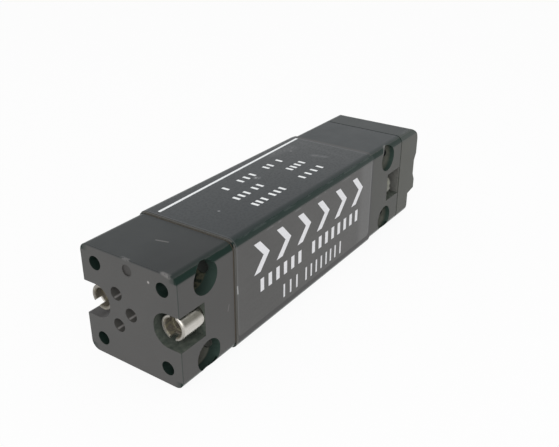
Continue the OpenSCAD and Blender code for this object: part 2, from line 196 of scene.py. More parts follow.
class Finish:
    """One procedural material on Object coordinates, in millimetres."""

    def __init__(self, name, roughness=0.5, metallic=0.0, specular=0.5):
        self.material = bpy.data.materials.new(name)
        self.material.use_nodes = True
        self.nodes = self.material.node_tree.nodes
        self.links = self.material.node_tree.links
        self.shader = self.nodes["Principled BSDF"]
        self.shader.inputs["Roughness"].default_value = roughness
        self.shader.inputs["Metallic"].default_value = metallic
        self.shader.inputs["Specular IOR Level"].default_value = specular
        place = self.nodes.new("ShaderNodeTexCoord")
        scale = self.nodes.new("ShaderNodeMapping")
        scale.inputs["Scale"].default_value = (1 / MM,) * 3
        self.links.new(place.outputs["Object"], scale.inputs["Vector"])
        self.place = scale.outputs["Vector"]
        split = self.nodes.new("ShaderNodeSeparateXYZ")
        self.links.new(self.place, split.inputs["Vector"])
        self.x, self.y, self.z = (Value(self, split.outputs[i]) for i in range(3))

    def feed(self, value, socket):
        """Links a value or socket to a socket, or sets it to a number or a colour."""
        if isinstance(value, Value):
            self.links.new(value.socket, socket)
        elif isinstance(value, bpy.types.NodeSocket):
            self.links.new(value, socket)
        elif isinstance(value, (int, float)):
            socket.default_value = value
        else:
            socket.default_value = (*value[:3], 1.0)

    def math(self, operation, a, b=0.0):
        node = self.nodes.new("ShaderNodeMath")
        node.operation = operation
        self.feed(a, node.inputs[0])
        self.feed(b, node.inputs[1])
        return Value(self, node.outputs[0])

    def chain(self, operation, values):
        total = values[0]
        for value in values[1:]:
            total = self.math(operation, total, value)
        return total

    def largest(self, *values):
        return self.chain("MAXIMUM", values)

    def smallest(self, *values):
        return self.chain("MINIMUM", values)

    def distance(self, a, b):
        return self.math("SQRT", a * a + b * b)

    def ramp(self, value, low, high, start, end, smooth=True):
        """Runs from start to end while value runs from low to high."""
        node = self.nodes.new("ShaderNodeMapRange")
        node.interpolation_type = "SMOOTHSTEP" if smooth else "LINEAR"
        for socket, number in zip(node.inputs, (value, low, high, start, end)):
            self.feed(number, socket)
        return Value(self, node.outputs[0])

    def texture(self, kind, size, stretch=(1, 1, 1)):
        """A texture node whose features are about size millimetres across."""
        warp = self.nodes.new("ShaderNodeMapping")
        warp.inputs["Scale"].default_value = [s / size for s in stretch]
        self.links.new(self.place, warp.inputs["Vector"])
        node = self.nodes.new(kind)
        node.inputs["Scale"].default_value = 1.0
        self.links.new(warp.outputs["Vector"], node.inputs["Vector"])
        return node

    def noise(self, size, detail=3.0, stretch=(1, 1, 1)):
        """Noise from 0 to 1."""
        node = self.texture("ShaderNodeTexNoise", size, stretch)
        node.inputs["Detail"].default_value = detail
        return Value(self, node.outputs["Fac"])

    def spots(self, size, amount):
        """Small round specks, 1 inside."""
        node = self.texture("ShaderNodeTexVoronoi", size)
        return Value(self, node.outputs["Distance"]).below(amount, amount / 2)

    def mix(self, amount, first, second, blend="MIX"):
        """Colour between first and second; either is a colour or a socket."""
        node = self.nodes.new("ShaderNodeMix")
        node.data_type = "RGBA"
        node.blend_type = blend
        for index, value in ((MIX_FACTOR, amount), (MIX_FIRST, first), (MIX_SECOND, second)):
            self.feed(value, node.inputs[index])
        return node.outputs[MIX_RESULT]

    def shade(self, base, amount):
        """base made darker or lighter by a value round 1."""
        grey = self.nodes.new("ShaderNodeCombineColor")
        for socket in list(grey.inputs)[:3]:
            self.feed(amount, socket)
        return self.mix(1.0, base, grey.outputs[0], "MULTIPLY")

    def paint(self, base):
        self.links.new(base, self.shader.inputs["Base Color"])

    def metal(self, value):
        self.feed(value, self.shader.inputs["Metallic"])

    def rough(self, value):
        self.feed(value, self.shader.inputs["Roughness"])

    def bump(self, height, depth):
        """Relief of depth millimetres where height runs from 0 to 1."""
        node = self.nodes.new("ShaderNodeBump")
        node.inputs["Distance"].default_value = depth * MM
        node.inputs["Strength"].default_value = 1.0
        self.feed(height, node.inputs["Height"])
        self.links.new(node.outputs["Normal"], self.shader.inputs["Normal"])


# ---------------------------------------------------------------- finishes

# Specular level of the black pieces, the film and the gaskets
SATIN_SPECULAR = 0.25

# Tones of dust, residue, wear and other marks that the finishes mix in, and of painted shade, painted
# light and painted highlights
# Painted shade on the pocket walls by the mouth
POCKET_WALL_SHADE = (0.046, 0.073, 0.062)
POCKET_STAIN = (0.145, 0.138, 0.095)
# Painted light deep in the pockets
POCKET_DEEP_LIGHT = (0.210, 0.215, 0.190)
# A mottled pale tone in the notches
NOTCH_PALE_TONE = (0.175, 0.188, 0.160)
LEFT_NOTCH = (0.058, 0.052, 0.055)
# Painted light at the far ends of the corner holes
HOLE_END_LIGHT = (0.30, 0.30, 0.28)
PORT_WALL = (0.076, 0.074, 0.069)
PIN_MARK = (0.022, 0.020, 0.018)
# Scratches, chips and specks, and the painted highlights in the ports and round the far pockets
SCRATCH_AND_HIGHLIGHT = (0.42, 0.40, 0.39)
# Painted light on the body's raised near edge
BODY_LIP_LIGHT = (0.090, 0.088, 0.080)
BODY_DUST = (0.20, 0.19, 0.17)
CAP_DUST = (0.26, 0.25, 0.23)
# Scuffs, smears and a chip on the film, and its painted highlights, glints and light
FILM_SCUFF_AND_HIGHLIGHT = (0.46, 0.47, 0.48)
# Painted light on the cap gasket's outer edge in the seam, paler along the top
GASKET_RIM_LIGHT = (0.22, 0.22, 0.21)
GASKET_CROWN_LIGHT = (0.52, 0.53, 0.52)
# Residue and a painted dark reflection on the nuts' upper flanks
NUT_RESIDUE_AND_REFLECTION = (0.155, 0.150, 0.128)
DULL_HEAD = (0.25, 0.265, 0.24)
PALE_GRIME = (0.16, 0.145, 0.095)
FELT_PORE = (0.10, 0.09, 0.07)


def settings():
    scene = bpy.context.scene
    return scene.ejector_colours, scene.ejector_sizes, scene.ejector_studio


def grain(finish, tone, coarse=0.10, fine=0.12):
    """Moulded black: slow cloudy patches and a fine tight grain over a tone."""
    clouds = finish.noise(7.0, detail=2.0)
    pores = finish.noise(0.14, detail=2.0)
    amount = (clouds - 0.5) * (2 * coarse) + (pores - 0.5) * (2 * fine) + 1.0
    return finish.shade(tone, amount), clouds, pores


def stroke(finish, u, v, start, end, width):
    """Mask of a straight scratch from start to end in the plane of u and v."""
    du, dv = end[0] - start[0], end[1] - start[1]
    size = du * du + dv * dv
    along = finish.ramp(((u - start[0]) * du + (v - start[1]) * dv) * (1 / size),
                        0.0, 1.0, 0.0, 1.0, smooth=False)
    away = finish.distance(u - start[0] - along * du, v - start[1] - along * dv)
    return away.below(width * 0.6, width * 0.5)


def dot(finish, u, v, centre, radius):
    """Mask of a round speck in the plane of u and v."""
    return finish.distance(u - centre[0], v - centre[1]).below(radius, radius * 0.5)


def long_edges(finish, across, up, half=HALF):
    """Mask of the rounded long edges, where a dark reflection is painted: faint next to the top and
    bottom, full next to the sides.
    """
    uneven = finish.noise(2.2, detail=3.0) * 0.5 - 0.25
    rounded = up.above(half - 1.9, 0.3)
    wide = (across + uneven).above(half - 1.9, 0.8) * rounded * 0.5
    core = (across + uneven).above(half - 1.0, 0.25) * rounded
    return finish.largest(wide, core)


def block_hollows(f, depth, across, up):
    """Masks of a port block's corner holes, side pockets and notches."""
    corner = f.distance(across - HOLE_OFFSET, up - HOLE_OFFSET)
    in_corner = corner.below(CORNER_R) * depth.above(0.08)
    pocket = f.distance(depth - POCKET_X, up - HOLE_OFFSET).below(POCKET_R)
    in_pocket = pocket * across.below(HALF - 0.04, 0.04) * across.above(HALF - POCKET_DEPTH)
    notch = up.below(NOTCH_HALF) * depth.below(NOTCH_LENGTH) * across.above(NOTCH_INNER)
    in_notch = notch * across.below(HALF - 0.06) * depth.above(0.06)
    return in_corner, in_pocket, in_notch


def inside_tones(f, base, hollows, depth, across, near):
    """Painted shade on the pocket walls by the mouth, brown stain and painted light deeper in, a
    mottled pale tone in the notches and painted light at the hole ends.
    """
    in_corner, in_pocket, in_notch = hollows
    mottle = f.noise(1.1, detail=4.0)
    wall_depth, soft = (3.4, 0.3) if near else (1.9, 0.9)
    inner = in_pocket * across.below(HALF - wall_depth, soft)
    lit_deep = f.z.below(MID_Z) if near else 1.0
    # Painted shade on the pocket walls by the mouth
    base = f.mix((in_pocket - inner) * 0.75, base, POCKET_WALL_SHADE)
    base = f.mix(inner * mottle.above(0.45, 0.15) * 0.8, base, POCKET_STAIN)
    # Painted light deep in the near block's lower pockets and in all of the far block's
    base = f.mix(inner * lit_deep * 0.75, base, POCKET_DEEP_LIGHT)
    # A mottled pale tone in the notches
    base = f.mix(in_notch * mottle * (0.75 if near else 1.0), base, NOTCH_PALE_TONE)
    # Painted light at the far ends of the corner holes, stronger in the lower ones
    beyond = in_corner * depth.above(13.4) * (f.z.below(MID_Z) * 0.7 + 0.3)
    return f.mix(beyond, base, HOLE_END_LIGHT)


def air_ports(f, base, depth, up):
    """Paints the walls of the three air ports; also returns the mask of a painted highlight line
    along them.
    """
    ports = f.smallest(f.distance(f.y, f.z - MID_Z),
                       f.distance(f.y - PORT_OFFSET, up - PORT_OFFSET)).below(PORT_R)
    in_port = ports * depth.above(0.06)
    low, high = 2.1, 2.2
    port_y = f.y - f.ramp(abs(f.z - MID_Z), low, high, 0.0, PORT_OFFSET)
    port_z = (f.z - MID_Z - f.ramp(f.z - MID_Z, low, high, 0.0, PORT_OFFSET)
              + f.ramp(f.z - MID_Z, -high, -low, PORT_OFFSET, 0.0))
    # Painted highlight: a pale line along the lower wall of each port
    highlight_line = abs(port_y * 0.85 + port_z * 0.53).below(0.22, 0.2) * (0 - port_z).above(0.6)
    return f.mix(in_port, base, PORT_WALL), highlight_line * in_port * depth.between(0.25, 3.4, 0.25)


def near_marks(f, depth, up):
    """A speck and chips on the interface face and scratches on the top and side."""
    face = depth.below(0.02, 0.02)
    top = up.above(HALF - 0.02, 0.02) * f.z.above(MID_Z)
    side = (0 - f.y).above(HALF - 0.02, 0.02)
    chipped = depth.below(0.5, 0.3) * f.noise(0.5, detail=3.0).above(0.42, 0.14)
    return [dot(f, f.y, f.z, (-6.5, 26.4), 0.30) * face * 0.7,
            stroke(f, f.y, f.z, (1.0, 30.3), (-0.7, 30.2), 0.7) * chipped * 0.20,
            stroke(f, f.y, f.z, (-10.9, 30.3), (-12.7, 29.9), 0.8) * chipped * 0.30,
            stroke(f, f.x, f.y, (-50.6, 0.6), (-49.8, -2.4), 0.35) * top * 0.24,
            stroke(f, f.x, f.z, (-43.7, 14.5), (-44.2, 13.0), 0.2) * side * 0.22]


def far_rim_highlight(f, depth, across):
    """A painted highlight on the rim of the far block's upper pockets, on the half towards the body.
    """
    rim = abs(f.distance(depth - POCKET_X, f.z - MID_Z - HOLE_OFFSET) - 4.3).below(0.22, 0.2)
    upper = f.z.above(MID_Z + 12.6, 0.6) * across.above(HALF - 1.5, 0.3)
    return [rim * depth.above(9.6, 0.8) * upper * 0.30]


def block_finish(name, tone, top, outer_x, inward):
    """Satin black of a port block; inward is 1 on the near block and -1 on the far one."""
    colours, _, _ = settings()
    near = inward > 0
    f = Finish(name, specular=SATIN_SPECULAR)
    depth = (f.x - outer_x) * inward
    across, up = abs(f.y), abs(f.z - MID_Z)
    base, clouds, pores = grain(f, tone)
    # Painted shade: the top face takes the darker top tone
    shaded_top = (f.z - MID_Z).above(HALF - 0.4, 0.3)
    base = f.mix(shaded_top, base, top)
    if near:
        # Painted shade: the near block's top darkens towards the -y side
        base = f.shade(base, 1 - f.y.below(-3.0, 8.0) * shaded_top * 0.25)
    hollows = block_hollows(f, depth, across, up)
    painted_dark = f.largest(*hollows)
    edge = long_edges(f, across, up)
    # Painted dark reflection along the rounded long edges
    base = f.mix(edge * 0.95, base, colours.painted_dark)
    # Painted shade in the corner holes, side pockets and notches
    base = f.mix(painted_dark * 0.9, base, colours.painted_dark)
    base = inside_tones(f, base, hollows, depth, across, near)
    # Painted shade: a thin dark line down the vertical edges between the outer face and the sides
    shaded_upright_edge = across.above(HALF - 0.16, 0.05) * depth.below(0.16, 0.05)
    base = f.mix(shaded_upright_edge * 0.55, base, colours.painted_dark)
    if near:
        base, port_highlight = air_ports(f, base, depth, up)
        pin = f.distance(f.y, f.z - MID_Z - HALF + 3.2)
        base = f.mix(pin.below(1.45, 0.25) * depth.below(0.4) * 0.6, base, PIN_MARK)
        base = f.mix(hollows[-1] * f.y.above(0.0) * 0.8, base, LEFT_NOTCH)
        # The ports' painted highlight goes on in the scratch colour
        marks = [port_highlight * 0.6, *near_marks(f, depth, up)]
    else:
        # Painted highlight round the far block's upper pockets
        marks = far_rim_highlight(f, depth, across)
    f.paint(f.mix(f.largest(*marks), base, SCRATCH_AND_HIGHLIGHT))
    # Metallic on the painted shade and the dark edges keeps their reflections dark
    f.metal(f.largest(painted_dark * 0.2, edge * 0.8))
    f.rough((clouds * 0.12 + 0.41) * (1 - edge * 0.55))
    f.bump(pores * (1 - edge), 0.004)
    return f.material


def body_finish():
    """Satin black of the body; only its underside, ends and a thin margin stay bare."""
    colours, _, _ = settings()
    f = Finish("body_black", specular=SATIN_SPECULAR)
    base, clouds, pores = grain(f, colours.body)
    across, up = abs(f.y), abs(f.z - MID_Z)
    edge = long_edges(f, across, up, HALF + 0.3)
    # Painted dark reflection along the rounded long edges
    base = f.mix(edge * 0.9, base, colours.painted_dark)
    # Painted light: a paler margin at the body's near end, where its raised edge catches light
    lit_lip = f.x.below(BODY_LOW.x + 0.5, 0.1) * f.largest(across, up).above(HALF - 0.2, 0.1)
    base = f.mix(lit_lip, base, BODY_LIP_LIGHT)
    dust = f.noise(2.5, detail=5.0).above(0.60, 0.06) * f.z.below(0.3, 0.1)
    base = f.mix(dust * 0.25, base, BODY_DUST)
    # Painted shade inside the vacuum port
    port = f.distance(f.x - BODY_LOW.x - VACUUM_PORT_X, f.y).below(4.4) * f.z.above(0.4, 0.3)
    f.paint(f.mix(port * 0.7, base, colours.painted_dark))
    f.metal(edge * 0.3)
    f.rough((clouds * 0.12 + 0.42) * (1 - edge * 0.5))
    f.bump(pores, 0.006)
    return f.material


def cap_finish():
    """Satin black of the exhaust cap, with a trace of dust round its holes."""
    colours, _, _ = settings()
    f = Finish("cap_black", specular=SATIN_SPECULAR)
    base, clouds, pores = grain(f, colours.cap)
    # Painted shade: the cap's top takes the darker top tone
    base = f.mix((f.z - MID_Z).above(HALF - 0.4, 0.3), base, colours.cap_top_shade)
    across, up = abs(f.y), abs(f.z - MID_Z)
    out = f.x - CAP_LOW.x
    edge = long_edges(f, across, up)
    # Painted dark reflection along the rounded long edges
    base = f.mix(edge * 0.8, base, colours.painted_dark)
    # Painted shade in the seats of the cap screws
    seat = f.distance(across - HOLE_OFFSET, up - HOLE_OFFSET).below(3.85) * out.above(6.4)
    base = f.mix(seat * 0.6, base, colours.painted_dark)
    dust = across.below(8.5, 1.5) * abs(f.z - MID_Z - 0.8).below(2.4, 0.8) * out.above(10.5)
    haze = dust * f.noise(1.2, detail=4.0).above(0.50, 0.12)
    f.paint(f.mix(haze * 0.3, base, CAP_DUST))
    f.rough((clouds * 0.12 + 0.42) * (1 - edge * 0.5))
    f.bump(pores, 0.006)
    return f.material


def top_smears(f, scuff):
    """Scuffs, smears and specks on the film's top."""
    return f.largest(
        stroke(f, f.x, f.y, (9.5, 10.2), (18.5, 8.2), 2.6) * scuff * 0.16,
        stroke(f, f.x, f.y, (16.4, -0.8), (16.9, -1.7), 1.3) * 0.13,
        stroke(f, f.x, f.y, (17.1, -3.2), (17.6, -4.4), 1.3) * 0.11,
        stroke(f, f.x, f.y, (24.1, 8.9), (20.1, -11.4), 1.4) * 0.025,
        dot(f, f.x, f.y, (15.7, 6.8), 0.4) * 0.25,
        dot(f, f.x, f.y, (-7.4, 2.9), 1.0) * scuff * 0.55,
        dot(f, f.x, f.y, (-30.6, -2.1), 0.35) * 0.40)


def end_highlight(f):
    """The paler far end of the film, where it lifts a little: a painted highlight."""
    end = FILM_HIGH.x
    return f.largest(f.x.above(end - 6.5, 2.0) * 0.08,
                     f.x.between(end - 4.6, end - 3.4, 0.5) * 0.08,
                     f.x.above(end - 1.2, 0.5) * 0.09,
                     f.x.above(end - 0.35, 0.1) * 0.20)


def edge_glints(f, across, up, side):
    """Broken painted glints where the film bends over the long edge."""
    glint = f.noise(1.1, detail=2.0, stretch=(0.35, 1.0, 1.0)).above(0.56, 0.06)
    lower = abs(up - HALF + 1.9).below(0.16, 0.14) * side * 0.14
    middle = abs(across - up).below(0.3, 0.3) * up.above(HALF - 1.6) * 0.05
    return f.largest(lower, middle) * glint


def film_finish():
    """Printed label film: smooth and slightly glossy, scuffed on its top."""
    colours, _, _ = settings()
    f = Finish("label_film", specular=SATIN_SPECULAR)
    across, up = abs(f.y), f.z - MID_Z
    clouds = f.noise(9.0, detail=2.0)
    streaks = f.noise(1.0, detail=3.0, stretch=(0.12, 1.0, 1.0))
    # Painted shade: the film's top takes the darker top tone
    top = up.above(HALF - 1.0, 0.8)
    base = f.mix(top, colours.film_side, colours.film_top_shade)
    base = f.shade(base, (clouds - 0.5) * 0.22 + (streaks - 0.5) * 0.16 + 1.0)
    edge = long_edges(f, across, up, HALF + 0.4)
    # Painted dark reflection along the rounded long edges
    base = f.mix(edge * 0.9, base, colours.painted_dark)
    flat = up.above(HALF + 0.3, 0.02)
    side = (0 - f.y).above(HALF)
    scuff = f.noise(0.7, detail=5.0).above(0.53, 0.08)
    # Painted highlight on the film's far end
    end_sheen = end_highlight(f) * up.below(HALF - 1.5, 0.5)
    # Painted light: a paler strip at the film's near end
    lit_lip = f.x.below(FILM_LOW.x + 0.35, 0.2) * 0.08
    # Painted glints along the film's bend over the long edge
    film_glints = edge_glints(f, across, up, side)
    # Painted highlight: a pale line across the top near the film's far end
    end_ridge_highlight = abs(f.x - FILM_HIGH.x + 0.5).below(0.4, 0.3) * flat * 0.08
    haze = f.x.above(FILM_HIGH.x - 14.0, 12.0) * flat * 0.008
    chip = stroke(f, f.x, f.z, (FILM_LOW.x + 0.2, 16.2), (FILM_LOW.x + 0.1, 18.2), 0.35)
    # Real scuffs, smears and a chip, mixed with painted highlights, glints and light
    pale = f.largest(top_smears(f, scuff) * flat, end_sheen, chip * side * 0.7, lit_lip, film_glints, end_ridge_highlight, haze)
    f.paint(f.mix(pale, base, FILM_SCUFF_AND_HIGHLIGHT))
    f.metal(edge * 0.3)
    f.rough(f.ramp(scuff, 0.0, 1.0, 0.36, 0.44, smooth=False) * (1 - edge * 0.4))
    f.bump(f.noise(0.25, detail=2.0), 0.003)
    return f.material


def ink_finish(name, tone):
    """White ink, a little thin and speckled."""
    f = Finish(name, roughness=0.5, specular=0.4)
    thin = f.noise(0.5, detail=4.0)
    f.paint(f.shade(tone, (thin - 0.5) * 0.30 + 0.98))
    f.bump(thin, 0.003)
    return f.material


def gasket_finish(name, tone, rim, crown):
    """Pressed sheet; beside the notches its outer edge is rim, and crown along the top; on the cap
    gasket both are painted light in the seam.
    """
    f = Finish(name, roughness=0.8, specular=SATIN_SPECULAR)
    fibres = f.noise(0.35, detail=5.0, stretch=(1.0, 0.35, 0.35))
    outer = f.largest(abs(f.y), abs(f.z - MID_Z)).above(HALF - 0.9)
    beside = abs(f.z - MID_Z).above(4.9)
    top = (f.z - MID_Z).above(HALF - 0.9, 0.3)
    edge = f.mix(top, rim, crown)
    f.paint(f.shade(f.mix(outer * beside, tone, edge), (fibres - 0.5) * 0.9 + 1.0))
    f.bump(fibres, 0.02)
    return f.material


def nickel_finish(name, axis_y, nut):
    """Satin nickel plate; the nuts' insides and slots hold brown residue, and a band on their upper
    flanks is residue and a painted dark reflection.
    """
    colours, _, _ = settings()
    f = Finish(name, metallic=1.0)
    radius = f.distance(abs(f.y) - axis_y, f.z - MID_Z)
    turning = f.noise(0.16, detail=2.0, stretch=(1.0, 0.2, 0.2))
    clouds = f.noise(1.8, detail=3.0)
    base = f.shade(colours.nickel, (turning - 0.5) * 0.05 + (clouds - 0.5) * 0.16 + 1.0)
    if nut:
        grimy = radius.below(2.85, 0.2)
        mouth = f.x.below(NUT_LOW.x + 0.25, 0.15) * (f.y.above(0.0) * 0.25 + 0.32)
        # Residue and a painted dark reflection on a band of each nut's upper flank
        upper_flank_dark = (f.z - MID_Z).between(1.15, 2.75, 0.6) * f.x.above(NUT_LOW.x + 0.4, 0.4)
        base = f.mix(upper_flank_dark, base, f.shade(NUT_RESIDUE_AND_REFLECTION, clouds * 0.5 + 0.75))
    else:
        grimy = f.x.below(NUT_HIGH.x, 0.2)
        mouth = f.x.above(0.0) * 0.45
        base = f.mix(f.x.above(0.0), base, DULL_HEAD)
    patchy = f.noise(0.9, detail=4.0)
    residue = f.largest(grimy * (patchy * 0.5 + 0.65), clouds.above(0.66, 0.06) * 0.30, mouth)
    stain = f.mix(patchy.above(0.54, 0.06), colours.grime, PALE_GRIME)
    f.paint(f.mix(residue, base, stain))
    f.metal(f.ramp(residue, 0.45, 0.9, 1.0, 0.15))
    f.rough(f.ramp(residue, 0.0, 0.6, 0.22, 0.55))
    f.bump(turning, 0.0006)
    return f.material


def black_steel_finish(tone):
    """Blackened steel with cloudy wear."""
    f = Finish("black_steel", roughness=0.42, metallic=0.6)
    clouds = f.noise(0.9, detail=4.0)
    f.paint(f.shade(tone, (clouds - 0.5) * 0.7 + 1.0))
    f.bump(f.noise(0.2, detail=2.0), 0.004)
    return f.material


def turned_finish(name, tone, roughness):
    """Bright turned metal with fine rings along X."""
    f = Finish(name, roughness=roughness, metallic=1.0)
    rings = f.noise(0.10, detail=1.0, stretch=(1.0, 0.01, 0.01))
    clouds = f.noise(2.0, detail=3.0)
    f.paint(f.shade(tone, (rings - 0.5) * 0.20 + (clouds - 0.5) * 0.15 + 1.0))
    f.bump(rings, 0.004)
    return f.material


def rubber_finish(name, tone):
    """Dull rubber with a little dust."""
    f = Finish(name, roughness=0.72, specular=0.3)
    dust = f.noise(0.5, detail=4.0)
    f.paint(f.shade(tone, (dust - 0.5) * 0.5 + 1.0))
    f.bump(dust, 0.006)
    return f.material


def felt_finish():
    """Open felt: pale fibres with dark pores."""
    colours, _, _ = settings()
    f = Finish("silencer_felt", roughness=0.95, specular=0.1)
    fibres = f.noise(0.30, detail=5.0)
    pores = f.spots(0.45, 0.22)
    base = f.shade(colours.felt, (fibres - 0.5) * 0.8 + 1.0)
    f.paint(f.mix(pores * 0.6, base, FELT_PORE))
    f.bump(fibres, 0.06)
    return f.material


# ---------------------------------------------------------------- modelling by hand

def clear():
    """Back to object mode with nothing selected."""
    if bpy.context.mode != "OBJECT":
        bpy.ops.object.mode_set(mode="OBJECT")
    bpy.ops.object.select_all(action="DESELECT")


def pick(piece):
    clear()
    piece.select_set(True)
    bpy.context.view_layer.objects.active = piece


def edit(piece, mode="FACE"):
    pick(piece)
    bpy.ops.object.mode_set(mode="EDIT")
    bpy.ops.mesh.select_mode(type=mode)


def choose(piece, kind, test):
    """Selects only the faces, edges or vertices of piece that pass test."""
    bpy.ops.mesh.select_all(action="DESELECT")
    bpy.ops.object.mode_set(mode="OBJECT")
    found = 0
    for element in getattr(piece.data, kind):
        if test(element):
            element.select = True
            found += 1
    if not found:
        raise RuntimeError(f"nothing to select on {piece.name}")
    bpy.ops.object.mode_set(mode="EDIT")


def box_piece(name, low, high):
    """A cube primitive stretched between two corners given in millimetres."""
    clear()
    low, high = Vector(low) * MM, Vector(high) * MM
    bpy.ops.mesh.primitive_cube_add(size=1.0, location=(low + high) / 2, scale=high - low)
    piece = bpy.context.object
    piece.name = name
    bpy.ops.object.transform_apply(location=True, rotation=True, scale=True)
    return piece


def add_modifier(piece, kind, **options):
    pick(piece)
    modifier = piece.modifiers.new(kind.title(), kind)
    for key, value in options.items():
        setattr(modifier, key, value)
    bpy.ops.object.modifier_apply(modifier=modifier.name)


def smooth(piece, angle=32.0):
    pick(piece)
    bpy.ops.object.shade_smooth_by_angle(angle=math.radians(angle))


def join(pieces, name):
    clear()
    for piece in pieces:
        piece.select_set(True)
    bpy.context.view_layer.objects.active = pieces[0]
    if len(pieces) > 1:
        bpy.ops.object.join()
    pieces[0].name = name
    return pieces[0]


def repeat(piece, moves):
    """Copies piece, each copy with its own mesh, to each move in millimetres."""
    made = [piece]
    for move in moves:
        pick(piece)
        bpy.ops.object.duplicate(linked=False)
        bpy.ops.transform.translate(value=Vector(move) * MM)
        bpy.ops.object.transform_apply(location=True, rotation=True, scale=True)
        made.append(bpy.context.object)
    return made


def dress(piece, name, material, replaced=()):
    """Names a finished piece, gives it its finish and lets it ride on the ejector."""
    piece.name = piece.data.name = name
    piece.data.materials.clear()
    piece.data.materials.append(material)
    if replaced:
        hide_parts(*replaced)
    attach(piece, "root")
    clear()


def repaint(node, material):
    """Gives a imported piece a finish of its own."""
    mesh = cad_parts[node].data
    mesh.materials.clear()
    mesh.materials.append(material)


def rounded_copy(node, radius):
    """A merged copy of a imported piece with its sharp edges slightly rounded."""
    clear()
    piece = bpy.data.objects.new(node + "_finished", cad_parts[node].data.copy())
    bpy.context.scene.collection.objects.link(piece)
    edit(piece, "VERT")
    bpy.ops.mesh.select_all(action="SELECT")
    bpy.ops.mesh.remove_doubles(threshold=0.0005 * MM)
    bpy.ops.mesh.customdata_custom_splitnormals_clear()
    bpy.ops.mesh.dissolve_limited(angle_limit=math.radians(0.3))
    add_modifier(piece, "BEVEL", width=radius, segments=2, limit_method="ANGLE",
                 angle_limit=math.radians(38), use_clamp_overlap=True,
                 miter_outer="MITER_ARC", harden_normals=False)
    smooth(piece, 34.0)
    add_modifier(piece, "WEIGHTED_NORMAL", mode="FACE_AREA", weight=50, keep_sharp=True)
    return piece


# ---------------------------------------------------------------- operators

class EJECTOR_OT_blocks(Operator):
    """Port blocks, body and cap: rounded edges and satin black finishes"""
    bl_idname = "ejector.blocks"
    bl_label = "Blocks, body and cap"

    def execute(self, context):
        colours, sizes, _ = settings()
        finishes = {
            "near_block": block_finish("near_block_black", colours.near_block,
                                       colours.near_top_shade, BLOCK_LOW.x, 1),
            "far_block": block_finish("far_block_black", colours.far_block,
                                      colours.far_top_shade, FAR_HIGH.x, -1),
            "ejector_body": body_finish(),
            "end_cap": cap_finish(),
        }
        for node, finish in finishes.items():
            piece = rounded_copy(node, sizes.edge_wear)
            dress(piece, node + "_shell", finish, replaced=[node])
        return {"FINISHED"}


class EJECTOR_OT_film(Operator):
    """Label film wrapped over the top and both sides of the body"""
    bl_idname = "ejector.film"
    bl_label = "Label film"

    def execute(self, context):
        _, sizes, _ = settings()
        gap = sizes.film_clearance / MM
        thickness = 0.10
        corner_r = 1.2
        touch = 1e-6
        low = (FILM_LOW.x, FILM_LOW.y + gap, FILM_LOW.z)
        high = (FILM_HIGH.x, FILM_HIGH.y - gap, FILM_HIGH.z - gap)
        film = box_piece("label_sheet", low, high)
        edit(film)
        choose(film, "polygons", lambda face: abs(face.normal.x) > 0.5 or face.normal.z < -0.5)
        bpy.ops.mesh.delete(type="FACE")
        bpy.ops.mesh.select_mode(type="EDGE")
        vertices = film.data.vertices
        top = high[2] * MM - touch
        choose(film, "edges", lambda edge: all(
            vertices[i].co.z > top for i in edge.vertices)
            and abs(vertices[edge.vertices[0]].co.x - vertices[edge.vertices[1]].co.x) > MM)
        bpy.ops.mesh.bevel(offset=(EDGE_R + FILM_T - gap) * MM, segments=12, profile=0.5,
                           affect="EDGES")
        bpy.ops.mesh.select_mode(type="VERT")
        choose(film, "vertices", lambda vertex: vertex.co.z < FILM_LOW.z * MM + touch)
        bpy.ops.mesh.bevel(offset=corner_r * MM, segments=6, profile=0.5, affect="VERTICES")
        bpy.ops.mesh.select_all(action="SELECT")
        bpy.ops.mesh.normals_make_consistent(inside=False)
        add_modifier(film, "SOLIDIFY", thickness=thickness * MM, offset=-1.0)
        smooth(film)
        dress(film, "label_sheet", film_finish(), replaced=["label_film"])
        return {"FINISHED"}


# How far ink reaches in beyond its own thickness, so that it meets the film
INK_SINK = 0.015


def mark(x_low, x_high, z_low, z_high):
    """One bar of ink on the side, lying in the space left outside the film."""
    _, sizes, _ = settings()
    outer = FILM_LOW.y
    return box_piece("mark", (x_low, outer, z_low),
                     (x_high, outer + sizes.print_thickness / MM + INK_SINK, z_high))


def top_mark(x_low, x_high, y_low, y_high):
    """One bar of ink on the top, lying in the space left above the film."""
    _, sizes, _ = settings()
    outer = FILM_HIGH.z
    return box_piece("mark", (x_low, y_low, outer - sizes.print_thickness / MM - INK_SINK),
                     (x_high, y_high, outer))


